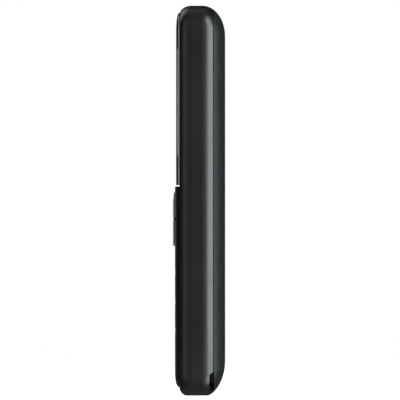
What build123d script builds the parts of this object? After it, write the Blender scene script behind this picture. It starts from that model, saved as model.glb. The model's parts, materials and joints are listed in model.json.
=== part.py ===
from build123d import *

import os
from math import cos, radians, sin

# A bar phone standing on its bottom end, in millimetres.
# X runs across the width, Y from the front (-Y) to the back (+Y), Z up the length.

# Body
BODY_LENGTH = 114.0
BODY_WIDTH = 48.0
BODY_CORNER = 6.0  # corner radius in the front view
SIDE_WALL = 1.8
END_WALL = 2.6
FRONT_ROUND_DEPTH = 3.5  # rounding of the front edge: its reach in Y, across and lengthwise
FRONT_ROUND_SIDE = 1.5
FRONT_ROUND_END = 2.7
BACK_ROUND_DEPTH = 6.64  # rounding of the back edge: its reach in Y, across and at both ends
BACK_ROUND_SIDE = 7.0
BACK_ROUND_BOTTOM = 10.4
BACK_ROUND_TOP = 8.8
BACK_CORNER = 3.6  # corner radius of the flat back
FOOT_FLAT = 0.4  # taken off the rounded bottom end, so that the phone stands on it
QUARTER_TURN = 90.0  # degrees
FRONT_SECTION_COUNT = 6  # steps in which each edge turns through its quarter
BACK_SECTION_COUNT = 9

# Battery cover
COVER_DEPTH = 3.27  # parting line to back face
COVER_WALL = 1.2
LIP_DEPTH = 0.9  # locating lip that stands inside the shell
LIP_WALL = 0.9
LIP_GAP = 0.15
NOTCH_WIDTH = 1.35  # fingernail notch at the parting line
NOTCH_BOTTOM = 1.5
NOTCH_TOP = 7.2
NOTCH_REACH = 5.0  # inwards from the side, so that it stays in the corner
NOTCH_SLANT = 1.1
LINE_WIDTH = 0.25  # fine groove along the long edges of the shell, at the parting line
LINE_DEPTH = 0.35

# Layers from the front rim of the shell to the back
POCKET_DEPTH = 0.4  # seat of the front panels below the rim
GASKET_DEPTH = 0.3
DISPLAY_DEPTH = 2.0
BOARD_DEPTH = 1.0
COMPONENT_ROOM = 2.0
BAY_FLOOR = 1.0
BATTERY_GAP = 0.05
BATTERY_DEPTH = 4.1
COVER_ROOM = 0.53

# Front panels
PANEL_SIDE_MARGIN = 2.5  # shell rim left beside the panels
PANEL_TOP_MARGIN = 2.05
PANEL_BOTTOM_MARGIN = 2.35
PANEL_CORNER = 3.8
PANEL_GAP = 0.1  # around the panels in their pocket
PANEL_EDGE = 0.3  # rounded long edges
CROWN_RADIUS = 600.0  # gentle bow of the whole front across the width
LENS_PROUD = 1.06  # upper front above the rim
LENS_ROLL = 5.75  # length over which its top end rolls off
PANEL_PROUD = 1.38  # keypad panel above the rim
PANEL_ROLL = 4.25
KEYPAD_LENGTH = 38.85
SEAM = 0.1  # between keypad frame and navigation plate
NAV_LENGTH = 19.8
LENS_GAP = 0.5  # open groove between the lower and the upper front

# Display window and bezels
LOWER_BEZEL = 8.6
TOP_BEZEL = 10.7
BEZEL_DEPTH = 0.7  # thickness of the black bezels over the clear flange
TOP_LIP = 1.1  # the top bezel reaches down in front of the window's flange
TAPE_DEPTH = 0.15
VIEW_SIDE_MARGIN = 5.2  # panel edge to the visible picture
VIEW_END_MARGIN = 0.9
TRAY_MARGIN = 1.8  # display tray beyond the visible picture
TRAY_WALL = 0.5
GLASS_DEPTH = 0.9
RIBBON_WIDTH = 14.0
RIBBON_LENGTH = 5.0
RIBBON_DEPTH = 0.2

# Keys
KEY_PROUD = 0.48  # raised keys above the panel
KEY_GAP = 0.15
KEY_TRAVEL = 0.35
KEY_FLANGE = 0.4
FLANGE_LIP = 0.4  # flange beyond the cap, left and right
STOP_GAP = 0.05  # left over at the end of every key's travel
KEY_CORNER = 1.3
KEY_EDGE = 0.25
FRONT_FACING_RATIO = 0.9  # a face this much turned to the front belongs to a key's front
STEM_RADIUS = 1.4
DOME_HEIGHT = 0.3
DOME_RADIUS = 2.0
DOME_TOP_RADIUS = 1.2
MAT_DEPTH = 0.4
MAT_LIP = 0.5  # mat clamped behind the shell around its openings
MAT_HOLE_GAP = 0.35
MAT_FOOT_RADIUS = 0.7
OPENING_ROOM = 0.5  # shell opening beyond the key windows, left and right
OPENING_END_ROOM = 0.3

# Raised keys
NAV_RAIL = 1.6
NAV_TOP_RAIL = 1.6
NAV_BOTTOM_RAIL = 2.45
NAV_BAR = 1.2
KEY_SPLIT = 0.2  # line between a soft key and the key below it
SLOPE_LENGTH = 4.2  # the raised keys fall away towards the display
SLOPE_DROP = 0.24
RING_WIDTH = 15.6
RING_CORNER = 5.2
RING_GAP = 0.3
SELECT_RADIUS = 3.2
SELECT_GAP = 0.4
PAD_DEPTH = 0.8
PAD_MARGIN = 0.4  # rocking pad drawn in from the ring's outline
NAV_TILT = 2.0  # degrees
NUB_RADIUS = 0.8
PIVOT_RADIUS = 0.4  # ridges that the pad and the ring rock on
PIVOT_GAP = 0.05
PIVOT_INSET = 0.2  # the ring's ridge ends inside its groove

# Number keys
COLUMNS = 3
ROWS = 4
KEYPAD_RAIL = 2.7
KEYPAD_TOP_RAIL = 1.4
KEYPAD_BOTTOM_RAIL = 4.5
COLUMN_BAR = 1.2
ROW_BAR = 0.9
NUMBER_NAMES = ["1", "2", "3", "4", "5", "6", "7", "8", "9", "star", "0", "hash"]

# Board and screws
BOARD_GAP = 0.4
BOSS_RADIUS = 1.9
BOSS_MERGE = 0.2  # boss sunk into the side wall
NECK_RADIUS = 1.3
NECK_GAP = 0.2
COLLAR_WALL = 0.6
SCREW_RADIUS = 0.7
SCREW_LENGTH = 4.0
SCREW_GAP = 0.02
SCREW_HEAD_RADIUS = 1.3
SCREW_HEAD_DEPTH = 0.7
SCREW_HOLE_GAP = 0.15
CROSS_LENGTH = 1.6  # cross recess in a screw head
CROSS_WIDTH = 0.35
CROSS_DEPTH = 0.35
MID_BOSS_HEIGHT = 3.0  # middle screws above the groove

# Sound
EAR_WIDTH = 13.0
EAR_HEIGHT = 6.4
EAR_CORNER = 2.1
EAR_TOP_GAP = 1.6  # capsule below the top of the cavity
EAR_SLOT_WIDTH = 9.0
EAR_SLOT_HEIGHT = 1.3
MESH_DEPTH = 0.15
MESH_SINK = 0.3  # mesh below the bezel's face
MIC_WIDTH = 3.5
MIC_HEIGHT = 1.9
MIC_DEPTH = 1.2
MIC_HOLE_RADIUS = 0.5
MIC_Z = 4.0
SPEAKER_RADIUS = 7.0
SPEAKER_DEPTH = 3.6
SPEAKER_SIDE_ROOM = 5.7  # to the side of the cavity
SPEAKER_TOP_ROOM = 6.0  # to the aerial's carrier
FOAM_WALL = 1.0
FOAM_GAP = 0.2  # foam ring to the cover
GRILLE_SLOT_COUNT = 4
GRILLE_PITCH = 2.2
GRILLE_WIDTH = 9.0
GRILLE_HEIGHT = 0.9

# Battery bay and what lies behind the board
BAY_SIDE_ROOM = 4.4
BAY_BOTTOM_ROOM = 10.4
BATTERY_TOP_ROOM = 14.0  # to the loudspeaker
BATTERY_CORNER = 1.5
BATTERY_SIDE_GAP = 0.2
BAY_WALL = 0.9
BAY_WALL_HEIGHT = 2.4
CHASSIS_GAP = 0.15
CONNECTOR_WIDTH = 9.0
CONNECTOR_HEIGHT = 2.6
CONNECTOR_DEPTH = 4.6
CONTACT_WIDTH = 1.0
CONTACT_DEPTH = 0.3
CONTACT_PITCH = 2.6
CONTACT_SEAT = 1.95  # contact blade inside its block
CUT_GAP = 0.3  # chassis cut-outs around what passes through
SIM_WIDTH = 17.0
SIM_LENGTH = 26.0
SIM_BOTTOM_ROOM = 1.0  # above the battery's lower end
SIM_WALL = 0.8
SIM_SLOT_DEPTH = 0.9
SIM_SINK = 0.3  # holder below the bay floor
SIM_BAND = 6.5  # roof left over the card's upper end
SHIELD_WIDTH = 28.0
SHIELD_ROOM = 7.2  # between the battery's contact block and the upper can
LOWER_SHIELD_SHARE = 0.45  # of the board between the card holder and the contact block
SHIELD_DEPTH = 1.7
SHIELD_EDGE = 0.4
SHIELD_WALL = 0.25
MOTOR_RADIUS = 2.0
MOTOR_LENGTH = 8.0
MOTOR_SIDE_ROOM = 5.3  # weight to the side of the cavity
WEIGHT_RADIUS = 1.9
WEIGHT_LENGTH = 3.0
WEIGHT_GAP = 0.4
SHAFT_RADIUS = 0.4
SHAFT_GAP = 0.05
SHAFT_SEAT = 2.0
CRADLE_WALL = 1.0
CRADLE_HEIGHT = 2.2
CRADLE_INSET = 2.0  # from each end of the motor can
FLOOR_GAP = 0.1  # motor above the chassis
CARRIER_SIDE_ROOM = 2.2  # to the screw heads
CARRIER_HEIGHT = 11.0
CARRIER_TOP_GAP = 3.4
CARRIER_DEPTH = 3.2
CARRIER_WALL = 0.9
ANTENNA_DEPTH = 0.2
ANTENNA_MARGIN = 1.0
ANTENNA_SLOT = 1.6

# Charging socket in the bottom end
SOCKET_WIDTH = 7.6
SOCKET_HEIGHT = 2.6
SOCKET_LENGTH = 5.2
SOCKET_WALL = 0.35
SOCKET_SINK = 0.8  # its mouth inside the end face
TONGUE_WIDTH = 4.6
TONGUE_DEPTH = 0.7
SOCKET_OPENING_GAP = 0.35

# Levels and outlines worked out from the sizes above
REACH = 4 * BODY_LENGTH  # longer than the phone in any direction
LEDGE = KEY_FLANGE + KEY_TRAVEL + STOP_GAP  # shell wall behind the panels
SHELL_DEPTH = (
    POCKET_DEPTH + LEDGE + GASKET_DEPTH + DISPLAY_DEPTH + BOARD_DEPTH + COMPONENT_ROOM
    + BAY_FLOOR + BATTERY_GAP + BATTERY_DEPTH + COVER_ROOM + COVER_WALL
)
TOTAL_DEPTH = SHELL_DEPTH + PANEL_PROUD + KEY_PROUD
Y_BACK = TOTAL_DEPTH / 2
Y_SPLIT = Y_BACK - COVER_DEPTH
Y_BACK_ROUND = Y_BACK - BACK_ROUND_DEPTH
Y_RIM = Y_BACK - SHELL_DEPTH
Y_FRONT_ROUND = Y_RIM + FRONT_ROUND_DEPTH
Y_LENS = Y_RIM - LENS_PROUD
Y_PANEL = Y_RIM - PANEL_PROUD
Y_RAISED = Y_PANEL - KEY_PROUD
Y_POCKET = Y_RIM + POCKET_DEPTH
Y_TAPE = Y_POCKET - TAPE_DEPTH
Y_BEZEL = Y_LENS + BEZEL_DEPTH
Y_WALL = Y_POCKET + LEDGE
Y_GLASS = Y_WALL + GASKET_DEPTH
Y_BOARD = Y_GLASS + DISPLAY_DEPTH
Y_BOARD_BACK = Y_BOARD + BOARD_DEPTH
Y_BAY_FRONT = Y_BOARD_BACK + COMPONENT_ROOM
Y_BAY = Y_BAY_FRONT + BAY_FLOOR
Y_STEM = Y_BOARD - DOME_HEIGHT - KEY_TRAVEL - STOP_GAP
Y_SPEAKER = Y_BAY + SPEAKER_DEPTH

HALF_WIDTH = BODY_WIDTH / 2
CAVITY_HALF = HALF_WIDTH - SIDE_WALL
CAVITY_CORNER = BODY_CORNER - SIDE_WALL
CAVITY_TOP = BODY_LENGTH - END_WALL
PANEL_HALF = HALF_WIDTH - PANEL_SIDE_MARGIN
PANEL_TOP = BODY_LENGTH - PANEL_TOP_MARGIN
KEYPAD_TOP = PANEL_BOTTOM_MARGIN + KEYPAD_LENGTH
NAV_BOTTOM = KEYPAD_TOP + SEAM
NAV_TOP = NAV_BOTTOM + NAV_LENGTH
LENS_BOTTOM = NAV_TOP + LENS_GAP
WINDOW_BOTTOM = LENS_BOTTOM + LOWER_BEZEL
WINDOW_TOP = PANEL_TOP - TOP_BEZEL
WINDOW_Z = (WINDOW_BOTTOM + WINDOW_TOP) / 2
VIEW_WIDTH = 2 * (PANEL_HALF - VIEW_SIDE_MARGIN)
VIEW_HEIGHT = WINDOW_TOP - WINDOW_BOTTOM - 2 * VIEW_END_MARGIN
TRAY_WIDTH = VIEW_WIDTH + 2 * TRAY_MARGIN
TRAY_HEIGHT = VIEW_HEIGHT + 2 * TRAY_MARGIN
TRAY_BOTTOM = WINDOW_Z - TRAY_HEIGHT / 2

RAISED_BOTTOM = NAV_BOTTOM + NAV_BOTTOM_RAIL
RAISED_TOP = NAV_TOP - NAV_TOP_RAIL
RAISED_Z = (RAISED_BOTTOM + RAISED_TOP) / 2
RAISED_HEIGHT = RAISED_TOP - RAISED_BOTTOM
PAD_HALF_WIDTH = RING_WIDTH / 2 - PAD_MARGIN
PAD_HALF_HEIGHT = RAISED_HEIGHT / 2 - PAD_MARGIN
NUB_REACH = (SELECT_RADIUS + SELECT_GAP + PAD_HALF_WIDTH) / 2  # centre to each of the four pressing points
TILT_SINE = sin(radians(NAV_TILT))
Y_PAD_BACK = Y_WALL - PAD_HALF_HEIGHT * TILT_SINE - STOP_GAP
Y_PAD = Y_PAD_BACK - PAD_DEPTH
Y_RING_BACK = Y_PAD - RING_WIDTH / 2 * TILT_SINE - STOP_GAP
Y_SELECT_BACK = Y_WALL - KEY_TRAVEL - STOP_GAP
Y_NUB = Y_BOARD - DOME_HEIGHT - (NUB_REACH + 2 * NUB_RADIUS) * TILT_SINE - STOP_GAP
SIDE_KEY_INNER = RING_WIDTH / 2 + RING_GAP + NAV_BAR + KEY_GAP
SIDE_KEY_OUTER = PANEL_HALF - NAV_RAIL
SIDE_KEY_WIDTH = SIDE_KEY_OUTER - SIDE_KEY_INNER
SIDE_KEY_X = (SIDE_KEY_OUTER + SIDE_KEY_INNER) / 2
SIDE_KEY_HEIGHT = (RAISED_HEIGHT - KEY_SPLIT) / 2
NAV_OPEN_HALF = SIDE_KEY_OUTER + KEY_GAP + OPENING_ROOM

NUMBER_HALF = PANEL_HALF - KEYPAD_RAIL
NUMBER_BOTTOM = PANEL_BOTTOM_MARGIN + KEYPAD_BOTTOM_RAIL
NUMBER_TOP = KEYPAD_TOP - KEYPAD_TOP_RAIL
WINDOW_CELL_WIDTH = (2 * NUMBER_HALF - (COLUMNS - 1) * COLUMN_BAR) / COLUMNS
WINDOW_CELL_HEIGHT = (NUMBER_TOP - NUMBER_BOTTOM - (ROWS - 1) * ROW_BAR) / ROWS
NUMBER_WIDTH = WINDOW_CELL_WIDTH - 2 * KEY_GAP
NUMBER_HEIGHT = WINDOW_CELL_HEIGHT - 2 * KEY_GAP
NUMBER_PITCH_X = WINDOW_CELL_WIDTH + COLUMN_BAR
NUMBER_PITCH_Z = WINDOW_CELL_HEIGHT + ROW_BAR
NUMBER_TOP_Z = NUMBER_TOP - WINDOW_CELL_HEIGHT / 2
NUMBER_OPEN_HALF = NUMBER_HALF + OPENING_ROOM

BOSS_X = CAVITY_HALF - BOSS_RADIUS + BOSS_MERGE
BOSS_ZS = [
    END_WALL + CAVITY_CORNER,
    LENS_BOTTOM + MID_BOSS_HEIGHT,
    CAVITY_TOP - CAVITY_CORNER,
]
EAR_Z = CAVITY_TOP - EAR_TOP_GAP - EAR_HEIGHT / 2
CARRIER_WIDTH = 2 * (BOSS_X - SCREW_HEAD_RADIUS - CARRIER_SIDE_ROOM)
CARRIER_BOTTOM = CAVITY_TOP - CARRIER_TOP_GAP - CARRIER_HEIGHT
CARRIER_Z = CARRIER_BOTTOM + CARRIER_HEIGHT / 2
SPEAKER_X = SPEAKER_RADIUS + SPEAKER_SIDE_ROOM - CAVITY_HALF
SPEAKER_Z = CARRIER_BOTTOM - SPEAKER_TOP_ROOM - SPEAKER_RADIUS
SPEAKER_BOTTOM = SPEAKER_Z - SPEAKER_RADIUS
BATTERY_HALF = CAVITY_HALF - BAY_SIDE_ROOM
BATTERY_BOTTOM = END_WALL + BAY_BOTTOM_ROOM
BATTERY_TOP = SPEAKER_BOTTOM - BATTERY_TOP_ROOM
BATTERY_LENGTH = BATTERY_TOP - BATTERY_BOTTOM
BATTERY_Z = (BATTERY_TOP + BATTERY_BOTTOM) / 2
CONNECTOR_BOTTOM = BATTERY_TOP + BATTERY_SIDE_GAP
CONNECTOR_Z = CONNECTOR_BOTTOM + CONNECTOR_HEIGHT / 2
SIM_Z = BATTERY_BOTTOM + SIM_BOTTOM_ROOM + SIM_LENGTH / 2
SIM_TOP = SIM_Z + SIM_LENGTH / 2
MOTOR_X = CAVITY_HALF - MOTOR_SIDE_ROOM - WEIGHT_LENGTH - WEIGHT_GAP - MOTOR_LENGTH
MOTOR_Y = Y_BAY + FLOOR_GAP + MOTOR_RADIUS
MOTOR_Z = (BATTERY_TOP + BATTERY_SIDE_GAP + BAY_WALL + SPEAKER_BOTTOM) / 2
SOCKET_Y = Y_BOARD_BACK + SOCKET_HEIGHT / 2


# Shape helpers

def front_plane(y):
    """The front view's plane at one depth: local X is across, local Y is up."""
    return Plane(origin=(0, y, 0), x_dir=(1, 0, 0), z_dir=(0, -1, 0))


def upright(sketch, y_front, y_back):
    """Give a front-view sketch its depth between two Y levels."""
    return extrude(front_plane(y_back) * sketch, amount=y_back - y_front)


def plate(x, z, width, height, radius, y_front, y_back):
    """A rounded plate, centred at x and z in the front view."""
    return upright(Pos(x, z) * RectangleRounded(width, height, radius), y_front, y_back)


def bar(x, z, width, height, y_front, y_back):
    """A square-cornered plate, centred at x and z in the front view."""
    return upright(Pos(x, z) * Rectangle(width, height), y_front, y_back)


def rod(x, z, radius, y_front, y_back):
    """A round rod from front to back."""
    return upright(Pos(x, z) * Circle(radius), y_front, y_back)


def slot(x, z, width, height, y_front, y_back):
    """A plate with fully rounded ends, centred at x and z in the front view."""
    return upright(Pos(x, z) * SlotOverall(width, height), y_front, y_back)


def cross_bar(sketch, x_from, x_to):
    """Give a side-view sketch (Y, then Z) its width between two X levels."""
    plane = Plane(origin=(x_from, 0, 0), x_dir=(0, 1, 0), z_dir=(1, 0, 0))
    return extrude(plane * sketch, amount=x_to - x_from)


def crown(y_front):
    """Everything behind the bowed front whose middle line is at y_front."""
    radius = CROWN_RADIUS + Y_PANEL - y_front
    return Pos(0, Y_PANEL + CROWN_RADIUS, 0) * Cylinder(radius, REACH)


def roll_off(z_end, reach, upward, y_base, drop):
    """Cutter that rounds a front off towards an end, along a quarter of an ellipse."""
    z_start = z_end - upward * reach
    corner = Pos(y_base - drop, z_start + upward * reach) * Rectangle(2 * drop, 2 * reach)
    rounded = Pos(y_base, z_start) * Ellipse(drop, reach)
    return cross_bar(corner - rounded, -BODY_WIDTH, BODY_WIDTH)


def front_rim(piece):
    """The edges around a key's front, without the seams inside it."""
    fronts = [face for face in piece.faces() if face.normal_at().Y < -FRONT_FACING_RATIO]
    edges = [edge for face in fronts for edge in face.edges()]
    return [edge for edge in edges if sum(edge.is_same(other) for other in edges) == 1]


def long_front_edges(piece):
    """The straight edges along Z at the very front of a piece."""
    return piece.edges().filter_by(Axis.Z).group_by(Axis.Y)[0]


# Body form

def body_outline(side_inset, bottom_inset, top_inset, radius):
    """The body's front view, drawn in by an amount at the sides and at each end."""
    bottom = bottom_inset - FOOT_FLAT
    top = BODY_LENGTH - top_inset
    return Pos(0, (bottom + top) / 2) * RectangleRounded(BODY_WIDTH - 2 * side_inset, top - bottom, radius)


def turn_angles(steps):
    """The angles of a quarter turn in even steps, both ends included."""
    return [QUARTER_TURN * step / steps for step in range(steps + 1)]


def front_section(angle):
    """One section of the rounded front edge."""
    drawn_in = 1 - cos(radians(angle))
    y = Y_FRONT_ROUND - FRONT_ROUND_DEPTH * sin(radians(angle))
    side = FRONT_ROUND_SIDE * drawn_in
    end = FRONT_ROUND_END * drawn_in
    return front_plane(y) * body_outline(side, end, end, BODY_CORNER - side)


def back_section(angle, inset):
    """One section of the rounded back edge, or of the same form inside a wall."""
    drawn_in = 1 - cos(radians(angle))
    y = Y_BACK_ROUND + (BACK_ROUND_DEPTH - inset) * sin(radians(angle))
    side = inset + (BACK_ROUND_SIDE - inset) * drawn_in
    bottom = inset + (BACK_ROUND_BOTTOM - inset) * drawn_in
    top = inset + (BACK_ROUND_TOP - inset) * drawn_in
    radius = BODY_CORNER - inset - (BODY_CORNER - BACK_CORNER) * drawn_in
    return front_plane(y) * body_outline(side, bottom, top, radius)


def back_form(inset):
    """The rounded back as a solid."""
    return loft([back_section(angle, inset) for angle in turn_angles(BACK_SECTION_COUNT)])


def body_form():
    """The whole body as one solid, flat at its foot."""
    front = loft([front_section(angle) for angle in turn_angles(FRONT_SECTION_COUNT)])
    middle = upright(body_outline(0, 0, 0, BODY_CORNER), Y_FRONT_ROUND, Y_BACK_ROUND)
    below_foot = bar(0, -BODY_LENGTH / 2, REACH, BODY_LENGTH, -REACH, REACH)
    return front + middle + back_form(0) - below_foot


def behind(y):
    """Everything behind one depth."""
    return bar(0, 0, REACH, REACH, y, y + REACH)


def cavity_outline(inset):
    """The shell's inside in the front view, drawn in evenly."""
    width = 2 * (CAVITY_HALF - inset)
    height = BODY_LENGTH - 2 * END_WALL - 2 * inset
    return Pos(0, BODY_LENGTH / 2) * RectangleRounded(width, height, CAVITY_CORNER - inset)


def panel_outline(gap):
    """The outline shared by all the front panels."""
    height = PANEL_TOP - PANEL_BOTTOM_MARGIN + 2 * gap
    middle = (PANEL_TOP + PANEL_BOTTOM_MARGIN) / 2
    return Pos(0, middle) * RectangleRounded(2 * (PANEL_HALF + gap), height, PANEL_CORNER + gap)


def panel_band(z_from, z_to, y_front, y_back):
    """The stretch of the front panels between two heights."""
    stretch = Pos(0, (z_from + z_to) / 2) * Rectangle(BODY_WIDTH, z_to - z_from)
    return upright(panel_outline(0) & stretch, y_front, y_back)


# Where the keys are

def number_places():
    """Name and centre of each number key, row by row from the top."""
    places = []
    for index, name in enumerate(NUMBER_NAMES):
        row, column = divmod(index, COLUMNS)
        x = (column - (COLUMNS - 1) / 2) * NUMBER_PITCH_X
        places.append((name, x, NUMBER_TOP_Z - row * NUMBER_PITCH_Z))
    return places


def side_key_places():
    """Name and centre of the four keys beside the navigation ring."""
    rise = (SIDE_KEY_HEIGHT + KEY_SPLIT) / 2
    return [
        ("soft_key_left", -SIDE_KEY_X, RAISED_Z + rise),
        ("soft_key_right", SIDE_KEY_X, RAISED_Z + rise),
        ("call_key", -SIDE_KEY_X, RAISED_Z - rise),
        ("end_key", SIDE_KEY_X, RAISED_Z - rise),
    ]


def nub_places():
    """Centres of the four pressing points: the two of the pad, then the two of the ring."""
    upper_lower = [(0, RAISED_Z + side * NUB_REACH) for side in (1, -1)]
    left_right = [(side * NUB_REACH, RAISED_Z) for side in (-1, 1)]
    return upper_lower, left_right


def boss_places():
    """Centres of the six screws."""
    return [(side * BOSS_X, z) for z in BOSS_ZS for side in (-1, 1)]


# Shell and cover

def notch_cutter():
    """The fingernail notch through the shell's edge, slanted at its upper end."""
    side = Polygon(
        (Y_SPLIT, NOTCH_TOP),
        (Y_SPLIT - NOTCH_WIDTH, NOTCH_TOP - NOTCH_SLANT),
        (Y_SPLIT - NOTCH_WIDTH, NOTCH_BOTTOM),
        (Y_SPLIT, NOTCH_BOTTOM),
        align=None,
    )
    return cross_bar(side, HALF_WIDTH - NOTCH_REACH, BODY_WIDTH)


def parting_groove():
    """The fine grooves along the shell's long edges, which run out where the corners turn in."""
    turn = (Y_SPLIT - Y_BACK_ROUND) / BACK_ROUND_DEPTH
    drawn_in = 1 - (1 - turn**2) ** 0.5
    depth = BACK_ROUND_SIDE * drawn_in + LINE_DEPTH
    outside = bar(0, BODY_LENGTH / 2, REACH, BODY_LENGTH, Y_SPLIT - LINE_WIDTH, Y_SPLIT)
    return outside - bar(0, BODY_LENGTH / 2, BODY_WIDTH - 2 * depth, REACH, Y_SPLIT - LINE_WIDTH, Y_SPLIT)


def ear_slot(y_front, y_back):
    """The earpiece slot between two depths."""
    return slot(0, EAR_Z, EAR_SLOT_WIDTH, EAR_SLOT_HEIGHT, y_front, y_back)


def shell_openings():
    """What is cut through the shell's front wall and bottom end."""
    view = bar(0, WINDOW_Z, VIEW_WIDTH, VIEW_HEIGHT, Y_POCKET, Y_WALL)
    nav_height = RAISED_HEIGHT + 2 * (KEY_GAP + OPENING_END_ROOM)
    nav = bar(0, RAISED_Z, 2 * NAV_OPEN_HALF, nav_height, Y_POCKET, Y_WALL)
    number_height = NUMBER_TOP - NUMBER_BOTTOM + 2 * OPENING_END_ROOM
    number_z = (NUMBER_TOP + NUMBER_BOTTOM) / 2
    number = bar(0, number_z, 2 * NUMBER_OPEN_HALF, number_height, Y_POCKET, Y_WALL)
    ear = ear_slot(Y_POCKET, Y_WALL)
    mic = rod(0, MIC_Z, MIC_HOLE_RADIUS, Y_POCKET, Y_WALL)
    mouth_width = SOCKET_WIDTH + 2 * SOCKET_OPENING_GAP
    mouth_depth = SOCKET_HEIGHT + 2 * SOCKET_OPENING_GAP
    mouth = Pos(0, SOCKET_Y, 0) * Box(mouth_width, mouth_depth, 2 * END_WALL)
    return [view, nav, number, ear, mic, mouth]


def make_main_shell():
    """The deep shell with its front wall, pocket, screw bosses, notch and parting line."""
    shell = body_form() - behind(Y_SPLIT)
    shell -= upright(cavity_outline(0), Y_WALL, Y_SPLIT)
    shell -= upright(panel_outline(PANEL_GAP), Y_RIM - FRONT_ROUND_DEPTH, Y_POCKET)
    for opening in shell_openings():
        shell -= opening
    inside = upright(cavity_outline(-BOSS_MERGE), Y_WALL, Y_SPLIT)
    for x, z in boss_places():
        boss = rod(x, z, BOSS_RADIUS, Y_WALL, Y_BOARD) + rod(x, z, NECK_RADIUS, Y_BOARD, Y_BAY_FRONT)
        shell += boss & inside
    for x, z in boss_places():
        shell -= rod(x, z, SCREW_RADIUS + SCREW_GAP, Y_BAY_FRONT - SCREW_LENGTH, Y_BAY_FRONT)
    return shell - notch_cutter() - parting_groove()


def make_battery_cover():
    """The rear cover, with a lip that stands inside the shell and a loudspeaker grille."""
    lip = upright(cavity_outline(LIP_GAP), Y_SPLIT - LIP_DEPTH, Y_SPLIT)
    inner = upright(cavity_outline(LIP_GAP + LIP_WALL), Y_SPLIT - LIP_DEPTH, Y_BACK)
    hollow = back_form(COVER_WALL) & inner
    cover = (body_form() & behind(Y_SPLIT)) - hollow
    cover += lip - inner
    for index in range(GRILLE_SLOT_COUNT):
        z = SPEAKER_Z + (index - (GRILLE_SLOT_COUNT - 1) / 2) * GRILLE_PITCH
        cover -= slot(SPEAKER_X, z, GRILLE_WIDTH, GRILLE_HEIGHT, Y_SPEAKER, Y_BACK + COVER_WALL)
    return cover


# Upper front

def lens_form(y_front, y_back):
    """The bowed upper front between two depths, rolled off at its top end."""
    band = panel_band(LENS_BOTTOM, PANEL_TOP, y_front, y_back)
    return (band & crown(Y_LENS)) - roll_off(PANEL_TOP, LENS_ROLL, 1, Y_RIM, LENS_PROUD)


def bezel_region(z_from, z_to, y_back):
    """The space between two heights, from the front to a depth."""
    return bar(0, (z_from + z_to) / 2, BODY_WIDTH, z_to - z_from, Y_RAISED, y_back)


def bezel_space():
    """Where the black bezels lie over the clear window."""
    top = bezel_region(WINDOW_TOP, PANEL_TOP, Y_BEZEL)
    lip = bezel_region(PANEL_TOP - TOP_LIP, PANEL_TOP, Y_TAPE)
    lower = bezel_region(LENS_BOTTOM, WINDOW_BOTTOM, Y_BEZEL)
    return top + lip, lower


def make_upper_front():
    """The clear window with its flanges, and the two black bezels over them."""
    form = lens_form(Y_RAISED, Y_TAPE)
    form = fillet(long_front_edges(form), PANEL_EDGE)
    top_space, lower_space = bezel_space()
    sound_way = ear_slot(Y_RAISED, Y_POCKET)
    return {
        "display_window": form - top_space - lower_space - sound_way,
        "top_bezel": (form & top_space) - sound_way,
        "lower_bezel": form & lower_space,
    }


def make_lens_tape():
    """The black adhesive frame that holds the window in its pocket."""
    tape = panel_band(LENS_BOTTOM, PANEL_TOP, Y_TAPE, Y_POCKET)
    tape -= bar(0, WINDOW_Z, VIEW_WIDTH, VIEW_HEIGHT, Y_TAPE, Y_POCKET)
    return tape - ear_slot(Y_TAPE, Y_POCKET)


def make_earpiece_mesh():
    """The fine mesh set into the earpiece slot."""
    y = Y_LENS + MESH_SINK
    return ear_slot(y, y + MESH_DEPTH)


# Keypad panels

def make_keypad_frame():
    """The lower panel with a window for every number key and the microphone hole."""
    frame = panel_band(PANEL_BOTTOM_MARGIN, KEYPAD_TOP, Y_PANEL, Y_POCKET) & crown(Y_PANEL)
    frame -= roll_off(PANEL_BOTTOM_MARGIN, PANEL_ROLL, -1, Y_RIM, PANEL_PROUD)
    frame = fillet(long_front_edges(frame), PANEL_EDGE)
    corner = KEY_CORNER + KEY_GAP
    for _, x, z in number_places():
        frame -= plate(x, z, WINDOW_CELL_WIDTH, WINDOW_CELL_HEIGHT, corner, Y_PANEL, Y_POCKET)
    return frame - rod(0, MIC_Z, MIC_HOLE_RADIUS, Y_PANEL, Y_POCKET)


def make_nav_plate():
    """The panel around the raised keys."""
    panel = panel_band(NAV_BOTTOM, NAV_TOP, Y_PANEL, Y_POCKET) & crown(Y_PANEL)
    panel = fillet(long_front_edges(panel), PANEL_EDGE)
    ring = RING_WIDTH + 2 * RING_GAP
    ring_height = RAISED_HEIGHT + 2 * RING_GAP
    panel -= plate(0, RAISED_Z, ring, ring_height, RING_CORNER + RING_GAP, Y_PANEL, Y_POCKET)
    width = SIDE_KEY_WIDTH + 2 * KEY_GAP
    height = RAISED_HEIGHT + 2 * KEY_GAP
    for side in (-1, 1):
        panel -= plate(side * SIDE_KEY_X, RAISED_Z, width, height, KEY_CORNER + KEY_GAP, Y_PANEL, Y_POCKET)
    return panel


# Keys

def with_stem(cap, x, z, width, height):
    """Add a key's flange and the stem that presses its dome."""
    flange_width = width + 2 * FLANGE_LIP
    flange = bar(x, z, flange_width, height - KEY_CORNER, Y_POCKET, Y_POCKET + KEY_FLANGE)
    return cap + flange + rod(x, z, STEM_RADIUS, Y_POCKET, Y_STEM)


def make_number_key(x, z):
    """A number key, flush with the panel."""
    cap = plate(x, z, NUMBER_WIDTH, NUMBER_HEIGHT, KEY_CORNER, Y_PANEL, Y_POCKET + KEY_FLANGE)
    cap &= crown(Y_PANEL)
    return with_stem(fillet(front_rim(cap), KEY_EDGE), x, z, NUMBER_WIDTH, NUMBER_HEIGHT)


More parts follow.
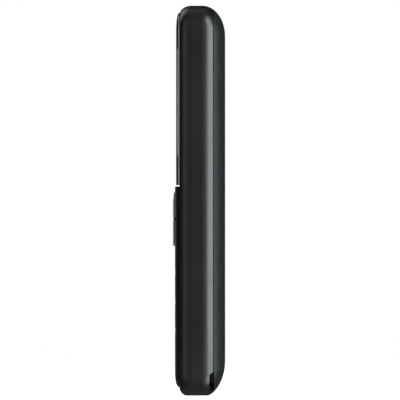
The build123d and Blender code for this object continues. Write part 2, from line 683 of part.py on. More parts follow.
def raised_form(piece):
    """Shape a raised key's face, which falls away in a long arc towards the display."""
    bend = RAISED_TOP - SLOPE_LENGTH
    radius = SLOPE_LENGTH**2 / (2 * SLOPE_DROP)
    side = Pos(Y_RAISED + radius, bend) * Circle(radius)
    side += Pos(Y_RAISED + radius, bend - BODY_LENGTH / 2) * Rectangle(2 * radius, BODY_LENGTH)
    shaped = piece & cross_bar(side, -BODY_WIDTH, BODY_WIDTH)
    return fillet(front_rim(shaped), KEY_EDGE)


def make_side_key(x, z):
    """One of the raised keys beside the navigation ring."""
    cap = plate(x, z, SIDE_KEY_WIDTH, SIDE_KEY_HEIGHT, KEY_CORNER, Y_RAISED, Y_POCKET + KEY_FLANGE)
    return with_stem(raised_form(cap), x, z, SIDE_KEY_WIDTH, SIDE_KEY_HEIGHT)


def ring_pivot(radius, inset):
    """The upright ridge on the pad that the ring rocks on, left and right."""
    axis = Pos(0, Y_RING_BACK, RAISED_Z) * Cylinder(radius, 2 * (PAD_HALF_HEIGHT - inset))
    return axis + bar(0, RAISED_Z, 2 * radius, 2 * (PAD_HALF_HEIGHT - inset), Y_RING_BACK, Y_PAD)


def pad_pivot(radius):
    """The level ridge on the mat that the pad rocks on, up and down."""
    sketch = Pos(Y_PAD_BACK, RAISED_Z) * Circle(radius)
    sketch += Pos((Y_PAD_BACK + Y_WALL) / 2, RAISED_Z) * Rectangle(Y_WALL - Y_PAD_BACK, 2 * radius)
    return cross_bar(sketch, -PAD_HALF_WIDTH, PAD_HALF_WIDTH)


def make_nav_ring():
    """The four-way ring around the select key, with its left and right pressing stems."""
    ring = plate(0, RAISED_Z, RING_WIDTH, RAISED_HEIGHT, RING_CORNER, Y_RAISED, Y_RING_BACK)
    ring -= rod(0, RAISED_Z, SELECT_RADIUS + SELECT_GAP, Y_RAISED, Y_RING_BACK)
    ring = raised_form(ring) - ring_pivot(PIVOT_RADIUS + PIVOT_GAP, 0)
    for x, z in nub_places()[1]:
        ring += rod(x, z, NUB_RADIUS, Y_RING_BACK, Y_NUB)
    return ring


def make_nav_pad():
    """The rocking pad under the ring, with its upper and lower pressing nubs."""
    corner = RING_CORNER - PAD_MARGIN
    pad = plate(0, RAISED_Z, 2 * PAD_HALF_WIDTH, 2 * PAD_HALF_HEIGHT, corner, Y_PAD, Y_PAD_BACK)
    pad += ring_pivot(PIVOT_RADIUS, PIVOT_INSET)
    pad -= pad_pivot(PIVOT_RADIUS + PIVOT_GAP)
    pad -= rod(0, RAISED_Z, SELECT_RADIUS + SELECT_GAP, Y_RAISED, Y_PAD_BACK)
    upper_lower, left_right = nub_places()
    for x, z in left_right:
        pad -= rod(x, z, NUB_RADIUS + MAT_HOLE_GAP, Y_PAD, Y_PAD_BACK)
    for x, z in upper_lower:
        pad += rod(x, z, NUB_RADIUS, Y_PAD_BACK, Y_NUB)
    return pad


def make_select_key():
    """The round key in the middle of the ring."""
    cap = rod(0, RAISED_Z, SELECT_RADIUS, Y_RAISED, Y_SELECT_BACK)
    cap = fillet(front_rim(cap), KEY_EDGE)
    return cap + rod(0, RAISED_Z, STEM_RADIUS, Y_SELECT_BACK, Y_STEM)


def make_keymat():
    """The rubber mat behind the panels, standing on feet on the board."""
    nav_height = RAISED_HEIGHT + 2 * (KEY_GAP + OPENING_END_ROOM)
    top = RAISED_Z + nav_height / 2 + MAT_LIP
    bottom = NUMBER_BOTTOM - OPENING_END_ROOM - MAT_LIP
    half = min(NUMBER_OPEN_HALF, NAV_OPEN_HALF) + MAT_LIP
    y_back = Y_WALL + MAT_DEPTH
    mat = bar(0, (top + bottom) / 2, 2 * half, top - bottom, Y_WALL, y_back)
    half_select = SELECT_RADIUS + SELECT_GAP
    mat += pad_pivot(PIVOT_RADIUS) - rod(0, RAISED_Z, half_select, Y_RAISED, Y_WALL)
    for _, x, z in number_places() + side_key_places():
        mat -= rod(x, z, STEM_RADIUS + MAT_HOLE_GAP, Y_WALL, y_back)
    upper_lower, left_right = nub_places()
    for x, z in upper_lower + left_right:
        mat -= rod(x, z, NUB_RADIUS + MAT_HOLE_GAP, Y_RAISED, y_back)
    mat -= rod(0, RAISED_Z, STEM_RADIUS + MAT_HOLE_GAP, Y_WALL, y_back)
    for x, z in boss_places():
        mat -= rod(x, z, BOSS_RADIUS + NECK_GAP, Y_WALL, y_back)
    for row in range(ROWS - 1):
        z = NUMBER_TOP_Z - (row + 0.5) * NUMBER_PITCH_Z
        for side in (-1, 1):
            mat += rod(side * NUMBER_PITCH_X / 2, z, MAT_FOOT_RADIUS, y_back, Y_BOARD)
    for side in (-1, 1):
        mat += rod(side * (SIDE_KEY_INNER - NAV_BAR / 2), RAISED_Z, MAT_FOOT_RADIUS, y_back, Y_BOARD)
    return mat


def make_key_domes():
    """A low metal dome under every key and pressing point."""
    places = [(x, z) for _, x, z in number_places() + side_key_places()]
    upper_lower, left_right = nub_places()
    places += upper_lower + left_right + [(0, RAISED_Z)]
    domes = []
    for x, z in places:
        outline = Pos(x, z) * Circle(DOME_RADIUS)
        crest = Pos(x, z) * Circle(DOME_TOP_RADIUS)
        domes.append(loft([front_plane(Y_BOARD) * outline, front_plane(Y_BOARD - DOME_HEIGHT) * crest]))
    return domes


# Display

def make_display():
    """The picture glass in its tray, the foam frame before it and the ribbon below it."""
    back = Y_BOARD
    tray = bar(0, WINDOW_Z, TRAY_WIDTH, TRAY_HEIGHT, Y_GLASS, back)
    glass_width = TRAY_WIDTH - 2 * TRAY_WALL
    glass_height = TRAY_HEIGHT - 2 * TRAY_WALL
    glass = bar(0, WINDOW_Z, glass_width, glass_height, Y_GLASS, Y_GLASS + GLASS_DEPTH)
    gasket = bar(0, WINDOW_Z, TRAY_WIDTH, TRAY_HEIGHT, Y_WALL, Y_GLASS)
    gasket -= bar(0, WINDOW_Z, VIEW_WIDTH, VIEW_HEIGHT, Y_WALL, Y_GLASS)
    half_ribbon = RIBBON_WIDTH / 2
    fold = Pos((Y_GLASS + GLASS_DEPTH + back) / 2, TRAY_BOTTOM - RIBBON_DEPTH / 2)
    fold *= Rectangle(back - Y_GLASS - GLASS_DEPTH, RIBBON_DEPTH)
    tail = Pos(back - RIBBON_DEPTH / 2, TRAY_BOTTOM - RIBBON_LENGTH / 2)
    tail *= Rectangle(RIBBON_DEPTH, RIBBON_LENGTH)
    return {
        "display_tray": tray - glass,
        "display_panel": glass,
        "display_gasket": gasket,
        "display_ribbon": cross_bar(fold + tail, -half_ribbon, half_ribbon),
    }


# Sound

def make_earpiece():
    """The earpiece capsule between the front wall and the board."""
    capsule = plate(0, EAR_Z, EAR_WIDTH, EAR_HEIGHT, EAR_CORNER, Y_WALL, Y_BOARD)
    return capsule - ear_slot(Y_WALL, Y_GLASS)


def make_microphone():
    """The microphone on the board and the rubber boot that joins it to its hole."""
    y_face = Y_BOARD - MIC_DEPTH
    boot = bar(0, MIC_Z, MIC_WIDTH, MIC_HEIGHT, Y_WALL, y_face)
    return {
        "microphone": bar(0, MIC_Z, MIC_WIDTH, MIC_HEIGHT, y_face, Y_BOARD),
        "microphone_boot": boot - rod(0, MIC_Z, MIC_HOLE_RADIUS, Y_WALL, y_face),
    }


def make_loudspeaker():
    """The ringer loudspeaker and the foam ring that seals it to the cover."""
    y_foam = Y_BACK - COVER_WALL - FOAM_GAP
    speaker = rod(SPEAKER_X, SPEAKER_Z, SPEAKER_RADIUS, Y_BAY, Y_SPEAKER)
    foam = rod(SPEAKER_X, SPEAKER_Z, SPEAKER_RADIUS, Y_SPEAKER, y_foam)
    foam -= rod(SPEAKER_X, SPEAKER_Z, SPEAKER_RADIUS - FOAM_WALL, Y_SPEAKER, y_foam)
    return {"loudspeaker": speaker, "loudspeaker_gasket": foam}


# Board and what stands on it

def make_main_board():
    """The circuit board, seated on the steps of the screw bosses."""
    board = upright(cavity_outline(BOARD_GAP), Y_BOARD, Y_BOARD_BACK)
    for x, z in boss_places():
        board -= rod(x, z, NECK_RADIUS + NECK_GAP, Y_BOARD, Y_BOARD_BACK)
    return board


def make_shield_cans():
    """The two metal cans over the circuits."""
    upper_bottom = CONNECTOR_BOTTOM + CONNECTOR_HEIGHT + SHIELD_ROOM
    upper = ((upper_bottom + CARRIER_BOTTOM) / 2, CARRIER_BOTTOM - upper_bottom)
    lower = ((SIM_TOP + CONNECTOR_BOTTOM) / 2, LOWER_SHIELD_SHARE * (CONNECTOR_BOTTOM - SIM_TOP))
    cans = []
    for z, height in (upper, lower):
        y_lid = Y_BOARD_BACK + SHIELD_DEPTH - SHIELD_WALL
        can = bar(0, z, SHIELD_WIDTH, height, Y_BOARD_BACK, y_lid + SHIELD_WALL)
        can = fillet(can.faces().sort_by(Axis.Y)[-1].edges(), SHIELD_EDGE)
        inner_width = SHIELD_WIDTH - 2 * SHIELD_WALL
        cans.append(can - bar(0, z, inner_width, height - 2 * SHIELD_WALL, Y_BOARD_BACK, y_lid))
    return cans


def make_sim_holder():
    """The open card holder under the battery."""
    y_top = Y_BAY - SIM_SINK
    holder = bar(0, SIM_Z, SIM_WIDTH, SIM_LENGTH, Y_BOARD_BACK, y_top)
    slot_top = y_top - SIM_WALL
    inner = SIM_WIDTH - 2 * SIM_WALL
    holder -= bar(0, SIM_Z - SIM_WALL, inner, SIM_LENGTH, slot_top - SIM_SLOT_DEPTH, slot_top)
    return holder - bar(0, SIM_Z - SIM_BAND, inner - 2 * SIM_WALL, SIM_LENGTH, slot_top, y_top)


def make_battery_connector():
    """The contact block at the battery's top end and its spring contacts."""
    y_back = Y_BOARD_BACK + CONNECTOR_DEPTH
    block = bar(0, CONNECTOR_Z, CONNECTOR_WIDTH, CONNECTOR_HEIGHT, Y_BOARD_BACK, y_back)
    y_contact = y_back - CONTACT_WIDTH - CONTACT_DEPTH
    z_top = CONNECTOR_Z - CONNECTOR_HEIGHT / 2 + CONTACT_SEAT
    length = z_top - BATTERY_TOP
    contacts = []
    for place in (-1, 0, 1):
        x = place * CONTACT_PITCH
        blade = bar(x, z_top - length / 2, CONTACT_WIDTH, length, y_contact, y_contact + CONTACT_DEPTH)
        block -= blade
        contacts.append(blade)
    return {"battery_connector": block, "battery_contacts": contacts}


def make_charge_socket():
    """The charging socket on the board, with its mouth in the bottom end."""
    middle = SOCKET_SINK + SOCKET_LENGTH / 2
    outer = Pos(0, SOCKET_Y, middle) * Box(SOCKET_WIDTH, SOCKET_HEIGHT, SOCKET_LENGTH)
    inner_width = SOCKET_WIDTH - 2 * SOCKET_WALL
    inner_depth = SOCKET_HEIGHT - 2 * SOCKET_WALL
    hollow = Pos(0, SOCKET_Y, middle - SOCKET_WALL) * Box(inner_width, inner_depth, SOCKET_LENGTH)
    tongue_length = SOCKET_LENGTH - 2 * SOCKET_WALL
    tongue = Pos(0, SOCKET_Y, middle) * Box(TONGUE_WIDTH, TONGUE_DEPTH, tongue_length)
    return outer - hollow + tongue


# Rear

def make_chassis():
    """The inner frame behind the board: battery bay, screw collars and motor cradle."""
    chassis = upright(cavity_outline(CHASSIS_GAP), Y_BAY_FRONT, Y_BAY)
    bay_width = 2 * (BATTERY_HALF + BATTERY_SIDE_GAP)
    bay_length = BATTERY_LENGTH + 2 * BATTERY_SIDE_GAP
    y_wall = Y_BAY + BAY_WALL_HEIGHT
    walls = bar(0, BATTERY_Z, bay_width + 2 * BAY_WALL, bay_length + 2 * BAY_WALL, Y_BAY, y_wall)
    chassis += walls - bar(0, BATTERY_Z, bay_width, bay_length, Y_BAY, y_wall)
    for x, z in boss_places():
        collar = rod(x, z, NECK_RADIUS + NECK_GAP + COLLAR_WALL, Y_BOARD_BACK, Y_BAY_FRONT)
        chassis += collar & upright(cavity_outline(CHASSIS_GAP), Y_BOARD_BACK, Y_BAY_FRONT)
    for x, z in boss_places():
        chassis -= rod(x, z, NECK_RADIUS + NECK_GAP, Y_BOARD_BACK, Y_BAY_FRONT)
        chassis -= rod(x, z, SCREW_RADIUS + SCREW_HOLE_GAP, Y_BAY_FRONT, Y_BAY)
    cradle_span = 2 * (MOTOR_RADIUS + CRADLE_WALL)
    for x in (MOTOR_X + CRADLE_INSET, MOTOR_X + MOTOR_LENGTH - CRADLE_INSET):
        chassis += bar(x, MOTOR_Z, CRADLE_WALL, cradle_span, Y_BAY, Y_BAY + CRADLE_HEIGHT)
    motor = Pos(MOTOR_Y, MOTOR_Z) * Circle(MOTOR_RADIUS)
    chassis -= cross_bar(motor, MOTOR_X, MOTOR_X + MOTOR_LENGTH)
    chassis -= bar(0, SIM_Z, SIM_WIDTH + 2 * CUT_GAP, SIM_LENGTH + 2 * CUT_GAP, Y_BAY_FRONT, Y_BAY)
    connector_width = CONNECTOR_WIDTH + 2 * CUT_GAP
    connector_height = CONNECTOR_HEIGHT + 2 * CUT_GAP
    chassis -= bar(0, CONNECTOR_Z, connector_width, connector_height, Y_BAY_FRONT, y_wall)
    socket_top = SOCKET_SINK + SOCKET_LENGTH + CUT_GAP
    return chassis - bar(0, 0, SOCKET_WIDTH + 2 * CUT_GAP, 2 * socket_top, Y_BAY_FRONT, Y_BAY)


def make_case_screws():
    """Six identical cross-head screws."""
    y_head = Y_BAY + SCREW_HEAD_DEPTH
    screws = []
    for x, z in boss_places():
        screw = rod(x, z, SCREW_RADIUS, Y_BAY_FRONT - SCREW_LENGTH + BAY_FLOOR, Y_BAY)
        screw += rod(x, z, SCREW_HEAD_RADIUS, Y_BAY, y_head)
        screw -= bar(x, z, CROSS_LENGTH, CROSS_WIDTH, y_head - CROSS_DEPTH, y_head)
        screws.append(screw - bar(x, z, CROSS_WIDTH, CROSS_LENGTH, y_head - CROSS_DEPTH, y_head))
    return screws


def make_battery():
    """The removable battery pack."""
    y_front = Y_BAY + BATTERY_GAP
    pack = bar(0, BATTERY_Z, 2 * BATTERY_HALF, BATTERY_LENGTH, y_front, y_front + BATTERY_DEPTH)
    return fillet(pack.edges().filter_by(Axis.Z), BATTERY_CORNER)


def make_vibration_motor():
    """The motor can, and the off-centre weight on its shaft, hanging down at rest."""
    end = MOTOR_X + MOTOR_LENGTH
    axis = Pos(MOTOR_Y, MOTOR_Z)
    can = cross_bar(axis * Circle(MOTOR_RADIUS), MOTOR_X, end)
    can -= cross_bar(axis * Circle(SHAFT_RADIUS + SHAFT_GAP), end - SHAFT_SEAT, end)
    lower_half = Pos(MOTOR_Y, MOTOR_Z - WEIGHT_RADIUS / 2) * Rectangle(2 * WEIGHT_RADIUS, WEIGHT_RADIUS)
    half_disc = (axis * Circle(WEIGHT_RADIUS)) & lower_half
    far_end = end + WEIGHT_GAP + WEIGHT_LENGTH
    weight = cross_bar(half_disc, end + WEIGHT_GAP, far_end)
    shaft = cross_bar(axis * Circle(SHAFT_RADIUS), end - SHAFT_SEAT + SHAFT_GAP, far_end)
    return {"vibration_motor": can, "motor_weight": weight + shaft}


def make_antenna():
    """The aerial plate on its hollow plastic carrier."""
    y_back = Y_BAY + CARRIER_DEPTH
    carrier = bar(0, CARRIER_Z, CARRIER_WIDTH, CARRIER_HEIGHT, Y_BAY, y_back)
    inner_width = CARRIER_WIDTH - 2 * CARRIER_WALL
    inner_height = CARRIER_HEIGHT - 2 * CARRIER_WALL
    carrier -= bar(0, CARRIER_Z, inner_width, inner_height, Y_BAY, y_back - CARRIER_WALL)
    width = CARRIER_WIDTH - 2 * ANTENNA_MARGIN
    height = CARRIER_HEIGHT - 2 * ANTENNA_MARGIN
    aerial = bar(0, CARRIER_Z, width, height, y_back, y_back + ANTENNA_DEPTH)
    slot_width = width - 2 * ANTENNA_SLOT
    aerial -= bar(-ANTENNA_SLOT, CARRIER_Z, slot_width, ANTENNA_SLOT, y_back, y_back + ANTENNA_DEPTH)
    return {"antenna_carrier": carrier, "antenna_plate": aerial}


# Every piece under the name of its node

def make_parts():
    """All the pieces, each a solid or a list of like solids."""
    parts = {
        "main_shell": make_main_shell(),
        "battery_cover": make_battery_cover(),
        "lens_tape": make_lens_tape(),
        "earpiece_mesh": make_earpiece_mesh(),
        "keypad_frame": make_keypad_frame(),
        "nav_plate": make_nav_plate(),
        "nav_ring": make_nav_ring(),
        "nav_pad": make_nav_pad(),
        "select_key": make_select_key(),
        "keymat": make_keymat(),
        "key_domes": make_key_domes(),
        "earpiece": make_earpiece(),
        "main_board": make_main_board(),
        "shield_cans": make_shield_cans(),
        "sim_holder": make_sim_holder(),
        "charge_socket": make_charge_socket(),
        "chassis": make_chassis(),
        "case_screws": make_case_screws(),
        "battery": make_battery(),
    }
    groups = [
        make_upper_front(),
        make_display(),
        make_microphone(),
        make_loudspeaker(),
        make_battery_connector(),
        make_vibration_motor(),
        make_antenna(),
    ]
    for group in groups:
        parts.update(group)
    for name, x, z in side_key_places():
        parts[name] = make_side_key(x, z)
    for name, x, z in number_places():
        parts["key_" + name] = make_number_key(x, z)
    return parts


os.makedirs("parts", exist_ok=True)
for node, piece in make_parts().items():
    solids = Compound(children=piece) if isinstance(piece, list) else piece
    export_step(solids, "parts/" + node + ".step")
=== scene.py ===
"""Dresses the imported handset: finishes for its moulded, lacquered and metal pieces, the printed marks on its
keys, and a small studio to look at it in."""
import json
import math

import bpy
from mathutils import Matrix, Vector


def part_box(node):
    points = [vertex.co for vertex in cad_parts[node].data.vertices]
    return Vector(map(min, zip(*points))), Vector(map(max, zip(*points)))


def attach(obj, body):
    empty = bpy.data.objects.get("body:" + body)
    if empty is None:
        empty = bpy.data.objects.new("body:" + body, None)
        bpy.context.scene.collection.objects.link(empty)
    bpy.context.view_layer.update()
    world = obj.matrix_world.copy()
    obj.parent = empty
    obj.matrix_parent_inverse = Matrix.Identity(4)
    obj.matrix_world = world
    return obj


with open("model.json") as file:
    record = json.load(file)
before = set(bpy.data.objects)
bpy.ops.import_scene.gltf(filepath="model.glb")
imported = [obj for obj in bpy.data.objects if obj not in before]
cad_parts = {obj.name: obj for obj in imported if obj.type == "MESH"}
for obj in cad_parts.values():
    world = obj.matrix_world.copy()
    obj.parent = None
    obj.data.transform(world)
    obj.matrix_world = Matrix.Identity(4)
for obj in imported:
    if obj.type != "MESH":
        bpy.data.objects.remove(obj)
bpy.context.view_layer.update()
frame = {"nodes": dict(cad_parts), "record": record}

bl_info = {
    "name": "Bar handset finishes",
    "version": (1, 0, 0),
    "blender": (4, 5, 0),
    "location": "3D View > Sidebar > Handset",
    "description": "Finishes, key marks and studio for a bar handset",
    "category": "Object",
}

MM = 0.001

# Number keys: the digit and the letters that every telephone keypad carries
KEY_LETTERS = {
    "1": "",
    "2": "ABC",
    "3": "DEF",
    "4": "GHI",
    "5": "JKL",
    "6": "MNO",
    "7": "PQRS",
    "8": "TUV",
    "9": "WXYZ",
    "0": "+",
}

# Sign keys: the sign, and its size against a digit's
KEY_SIGNS = {"key_star": ("*", 1.7), "key_hash": ("#", 1.0)}

# Letters: how tall a capital is against its font's size, and the steps in each of its curves
CAPITAL_SHARE = 0.7
TEXT_STEPS = 4

# Handset mark: an arc in even steps, thicker for a few steps at both ends
HANDSET_SPAN = math.radians(96.0)
HANDSET_STEPS = 15
HANDSET_END_STEPS = 4

# Other marks: roundings and the ring of the select mark, as shares of the mark's own size
DASH_ROUNDING = 0.48
ARROW_ROUNDING = 0.2
DOT_RING = 0.4

# Printing: the turn of a flat mark, where it starts before it is laid on, and what counts as one point
FACING_FRONT = (math.pi / 2.0, 0.0, 0.0)
PRINT_LIFT = 1.0 * MM
WELD_DISTANCE = 0.002 * MM

# Finishes: refractive indices of the plastics, and the sizes of what is drawn on the surfaces
PLASTIC_IOR = 1.52
ACRYLIC_IOR = 1.49
CLOUD_SIZE = 14.0 * MM
METAL_LINE = 0.5 * MM
METAL_STRETCH = (1.0, 1.0, 0.08)
FLAKE_SIZE = 0.3 * MM
SMEAR_SIZE = 9.0 * MM
CUTTER_MARK = 0.4 * MM
CELL_SIZE = 0.5 * MM
WIRE_SPACING = 0.35 * MM
TRACK_BLOCK = 4.0 * MM
TRACK_SPACING = 1.2 * MM
INK_SPOT = 0.3 * MM

# Length at which a wave pattern of scale 1 repeats
WAVE_PERIOD = 0.31

# Inner plastics by slot: name, colour, grain and its depth in millimetres, roughness
INNER_PLASTICS = {
    # Soft and dull, with hardly any shine
    "silicone_rubber": ("Silicone rubber", "#3c3c3e", 0.8, 0.006, 0.62),
    # A pitted skin that takes up the light
    "black_foam": ("Closed cell foam", "#161617", 0.35, 0.06, 0.85),
    # Dead black and slightly uneven
    "adhesive_tape": ("Black acrylic foam tape", "#0a0a0b", 0.5, 0.01, 0.6),
    # A smooth amber film
    "flexible_circuit": ("Polyimide flexible circuit", "#8a4f14", 0.6, 0.01, 0.35),
    # Black dulled by the glass fibres at its skin
    "holder_plastic": ("Glass filled nylon", "#232325", 0.3, 0.015, 0.55),
    # Plain dark grey, straight from the mould
    "chassis_plastic": ("Moulded ABS chassis", "#1e1f20", 0.5, 0.01, 0.5),
    # A tight film with a clear shine
    "battery_wrap": ("Shrink sleeve on the battery", "#26282c", 1.2, 0.008, 0.3),
}

# Inner metals by slot: name, colour, roughness
INNER_METALS = {
    # Warm pale grey, smooth from the rolls
    "spring_steel": ("Nickel plated spring steel", "#b9b6ae", 0.3),
    # Cloudy grey with a blunt shine
    "tinned_steel": ("Tinned steel sheet", "#8f908e", 0.48),
    # Clean pale grey, drawn smooth
    "capsule_metal": ("Drawn nickel silver", "#a8a8a4", 0.32),
    # Warm yellow, the brightest metal here
    "gold_plated_brass": ("Gold plated brass", "#e0b860", 0.24),
    # Bluish grey with a milky shine
    "zinc_plated_steel": ("Zinc plated steel", "#8f9193", 0.42),
    # Dull grey of grains pressed together
    "heavy_metal": ("Sintered tungsten", "#8a8a8c", 0.42),
}

# Floor: a disc just under the foot, which fades out between two distances
FLOOR_RADIUS = 600.0 * MM
FLOOR_DROP = 0.05 * MM
FLOOR_FADE_START = 60.0 * MM
FLOOR_FADE_END = 450.0 * MM
FLOOR_GRAIN = 2.0 * MM
FLOOR_GLOW = 0.82

# Picture: what the camera sees of the handset, and where the middle of it lies
SENSOR = 36.0 * MM
PICTURE_HEIGHT = 117.22 * MM
PICTURE_DEPTH = 15.0 * MM
PICTURE_MIDDLE_Y = 0.25 * MM
PICTURE_MIDDLE_Z = 57.15 * MM


def linear(code):
    """Turns an sRGB hex value into linear red, green and blue."""
    parts = [int(code[start:start + 2], 16) / 255.0 for start in (1, 3, 5)]
    return tuple(part / 12.92 if part <= 0.04045 else ((part + 0.055) / 1.055) ** 2.4 for part in parts)


def colour(label, words, code):
    """A colour that the user can change."""
    return bpy.props.FloatVectorProperty(name=label, description=words, default=linear(code), size=3,
                                         subtype="COLOR", min=0.0, max=1.0)


def length(label, words, millimetres):
    """A length that the user can change."""
    return bpy.props.FloatProperty(name=label, description=words, default=millimetres * MM, min=0.0,
                                   unit="LENGTH", precision=5)


class HandsetColours(bpy.types.PropertyGroup):
    """Colours of the finishes that show from outside."""

    shell: colour("Shell", "Black of the moulded shell", "#060707")
    cover: colour("Battery cover", "Black of the matte battery cover", "#0e0f0f")
    bezel: colour("Bezels", "Black of the gloss bezels round the window", "#060607")
    panel: colour("Key panels", "Black of the panels round the keys", "#0b0b0c")
    number_keys: colour("Number keys", "Black of the number keys", "#101011")
    raised_keys: colour("Raised keys", "Grey of the lacquered keys", "#979790")
    window_edge: colour("Window edge", "Grey of the frosted edge of the window", "#afb0ad")
    display: colour("Display", "Dark tint of the display when it is off", "#161b1d")
    ink: colour("Key ink", "White of the digits and letters", "#dcdcd6")
    call_ink: colour("Call mark", "Green of the mark on the call key", "#2f9a4a")
    end_ink: colour("End mark", "Red of the mark on the end key", "#c23b30")


class HandsetSizes(bpy.types.PropertyGroup):
    """Sizes of the printed marks."""

    digit: length("Digit height", "Height of a digit on a number key", 3.1)
    letter: length("Letter height", "Height of the letters beside a digit", 1.4)
    digit_shift: length("Digit shift", "How far the digit sits left of the key's middle", 3.0)
    letter_shift: length("Letter shift", "How far the letters sit right of the key's middle", 1.9)
    dash_width: length("Dash width", "Width of the dash on a soft key", 3.2)
    dash_height: length("Dash height", "Height of the dash on a soft key", 0.6)
    arrow: length("Arrow size", "Radius of an arrow on the ring", 0.62)
    arrow_inset: length("Arrow inset", "Distance from the ring's edge to the arrow's middle", 1.9)
    handset_width: length("Handset mark", "Width of the mark on the call and end keys", 4.6)
    handset_stroke: length("Handset stroke", "Thickness of the arc of that mark", 0.75)
    dot: length("Select mark", "Radius of the mark on the select key", 0.75)
    ink_depth: length("Ink depth", "Thickness of the printed ink", 0.012)


class HandsetStudio(bpy.types.PropertyGroup):
    """Camera and lights of the studio."""

    lens: bpy.props.FloatProperty(name="Lens", description="Focal length of the camera in millimetres",
                                  default=600.0, min=50.0, unit="CAMERA")
    light: colour("Light", "Slightly cool white of the lights", "#f3fbff")
    strip: bpy.props.FloatProperty(name="Strip light", description="Brightness of the strip light behind",
                                   default=9.1, min=0.0)
    front: bpy.props.FloatProperty(name="Front light", description="Brightness of the broad light in front",
                                   default=0.75, min=0.0)
    overhead: bpy.props.FloatProperty(name="Overhead light", description="Brightness of the light above",
                                      default=0.35, min=0.0)
    face: bpy.props.FloatProperty(name="Face light", description="Brightness of the light across the face",
                                  default=2.2, min=0.0)
    table: bpy.props.FloatProperty(name="Table light", description="Brightness of the table below the foot",
                                   default=0.2, min=0.0)
    room: bpy.props.FloatProperty(name="Room", description="Brightness of the room that the surfaces reflect",
                                  default=0.06, min=0.0)


def add(tree, kind, inputs=None, **settings):
    """Adds a shader node with its settings, and fills or links its inputs."""
    made = tree.nodes.new(kind)
    for name, value in settings.items():
        setattr(made, name, value)
    for name, value in (inputs or {}).items():
        if isinstance(value, bpy.types.NodeSocket):
            tree.links.new(value, made.inputs[name])
        else:
            made.inputs[name].default_value = value
    return made


def start_material(name):
    """A new material with only its place on the piece: the material, its tree and the place."""
    material = bpy.data.materials.new(name)
    material.use_nodes = True
    tree = material.node_tree
    tree.nodes.clear()
    return material, tree, add(tree, "ShaderNodeTexCoord").outputs["Object"]


def opaque(values, strength=1.0):
    """A colour, made lighter or darker, with full cover."""
    return (*(value * strength for value in values), 1.0)


def moulded_plastic(name, base, grain, depth, roughness, spread=0.05, lift=1.5):
    """Plastic from an etched mould: a fine pebble grain breaks up the shine, and the gloss changes slowly
    where the plastic cooled unevenly or was handled. The grain is drawn coarser than the real 0.05 mm so
    that it shows."""
    material, tree, place = start_material(name)
    pebble = add(tree, "ShaderNodeTexNoise", {"Vector": place, "Scale": 1.0 / grain, "Detail": 2.0})
    cloud = add(tree, "ShaderNodeTexNoise", {"Vector": place, "Scale": 1.0 / CLOUD_SIZE, "Detail": 3.0})
    tint = add(tree, "ShaderNodeMixRGB", {
        "Fac": pebble.outputs["Fac"],
        "Color1": opaque(base),
        "Color2": opaque(base, lift),
    })
    gloss = add(tree, "ShaderNodeMapRange", {
        "Value": cloud.outputs["Fac"],
        "From Min": 0.3,
        "From Max": 0.7,
        "To Min": roughness - spread,
        "To Max": roughness + spread,
    })
    bump = add(tree, "ShaderNodeBump", {"Height": pebble.outputs["Fac"], "Distance": depth, "Strength": 1.0})
    plastic = add(tree, "ShaderNodeBsdfPrincipled", {
        "Base Color": tint.outputs["Color"],
        "IOR": PLASTIC_IOR,
        "Roughness": gloss.outputs["Result"],
        "Normal": bump.outputs["Normal"],
    })
    add(tree, "ShaderNodeOutputMaterial", {"Surface": plastic.outputs["BSDF"]})
    return material


def formed_metal(name, base, roughness, spread=0.08):
    """Rolled or drawn metal: faint lines along the length that stretch the highlight across them."""
    material, tree, place = start_material(name)
    stretch = add(tree, "ShaderNodeMapping", {"Vector": place, "Scale": METAL_STRETCH})
    lines = add(tree, "ShaderNodeTexNoise", {
        "Vector": stretch.outputs["Vector"],
        "Scale": 1.0 / METAL_LINE,
        "Detail": 3.0,
    })
    tint = add(tree, "ShaderNodeMixRGB", {
        "Fac": lines.outputs["Fac"],
        "Color1": opaque(base, 0.8),
        "Color2": opaque(base),
    })
    gloss = add(tree, "ShaderNodeMapRange", {
        "Value": lines.outputs["Fac"],
        "To Min": roughness - spread,
        "To Max": roughness + spread,
    })
    bump = add(tree, "ShaderNodeBump", {"Height": lines.outputs["Fac"], "Distance": 0.002 * MM})
    metal = add(tree, "ShaderNodeBsdfPrincipled", {
        "Base Color": tint.outputs["Color"],
        "Metallic": 1.0,
        "Roughness": gloss.outputs["Result"],
        "Normal": bump.outputs["Normal"],
    })
    add(tree, "ShaderNodeOutputMaterial", {"Surface": metal.outputs["BSDF"]})
    return material


def metallic_lacquer(base):
    """Metallic lacquer sprayed on moulded keys: aluminium flakes that each catch the light a little
    differently under a clear coat. The flakes are drawn at 0.3 mm instead of the real 0.03 mm so that they
    show."""
    material, tree, place = start_material("Metallic lacquer on ABS")
    flakes = add(tree, "ShaderNodeTexVoronoi", {"Vector": place, "Scale": 1.0 / FLAKE_SIZE})
    shade = add(tree, "ShaderNodeRGBToBW", {"Color": flakes.outputs["Color"]})
    tint = add(tree, "ShaderNodeMixRGB", {
        "Fac": shade.outputs["Val"],
        "Color1": opaque(base, 0.75),
        "Color2": opaque(base, 1.3),
    })
    bump = add(tree, "ShaderNodeBump", {"Height": shade.outputs["Val"], "Distance": 0.004 * MM})
    lacquer = add(tree, "ShaderNodeBsdfPrincipled", {
        "Base Color": tint.outputs["Color"],
        "Metallic": 0.75,
        "Roughness": 0.36,
        "Coat Weight": 0.35,
        "Coat Roughness": 0.12,
        "Normal": bump.outputs["Normal"],
    })
    add(tree, "ShaderNodeOutputMaterial", {"Surface": lacquer.outputs["BSDF"]})
    return material


